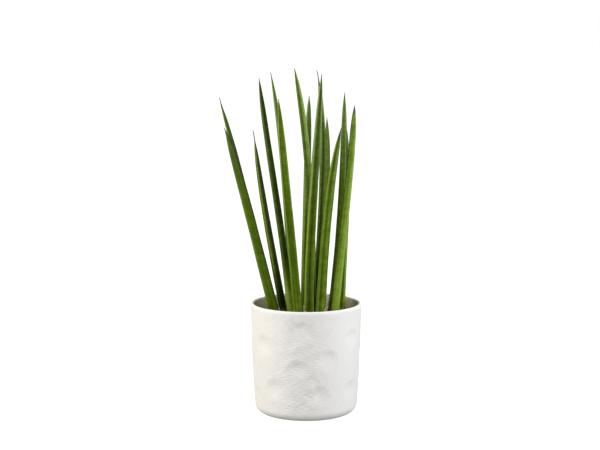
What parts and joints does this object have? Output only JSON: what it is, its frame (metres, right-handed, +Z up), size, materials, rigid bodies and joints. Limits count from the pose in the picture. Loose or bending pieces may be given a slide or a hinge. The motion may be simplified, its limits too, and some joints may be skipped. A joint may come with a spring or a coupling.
{
  "type": "potted cylindrical snake plant",
  "caption": "Cylindrical snake plant: slender upright spear leaves fanning from soil in a straight-sided white ceramic pot pressed with shallow dimples.",
  "frame": {"origin": "centre of the pot's flat underside", "axes": "+Z up out of the pot; -Y is the front, the side the plant is usually seen from; +X to the right of that view"},
  "size_m": [0.1735, 0.135, 0.42],
  "materials": {
    "matte_ceramic": "matte",
    "potting_soil": "matte",
    "leaf": "satin",
    "rhizome": "matte",
    "dry_sheath": "matte"
  },
  "bodies": {
    "root": {"ceramic_pot": "matte_ceramic", "potting_soil": "potting_soil", "leaf_01": "leaf", "leaf_02": "leaf", "leaf_03": "leaf", "leaf_04": "leaf", "leaf_05": "leaf", "leaf_06": "leaf", "leaf_07": "leaf", "leaf_08": "leaf", "leaf_09": "leaf", "leaf_10": "leaf", "leaf_11": "leaf", "leaf_12": "leaf", "leaf_13": "leaf", "leaf_14": "leaf", "leaf_15": "leaf", "rhizome_1": "rhizome", "rhizome_2": "rhizome", "rhizome_3": "rhizome", "rhizome_4": "rhizome", "rhizome_5": "rhizome", "rhizome_6": "rhizome", "rhizome_7": "rhizome", "rhizome_8": "rhizome", "sheath_1": "dry_sheath", "sheath_2": "dry_sheath", "sheath_3": "dry_sheath", "sheath_4": "dry_sheath", "sheath_5": "dry_sheath", "sheath_6": "dry_sheath", "sheath_7": "dry_sheath", "sheath_8": "dry_sheath"}
  },
  "joints": []
}
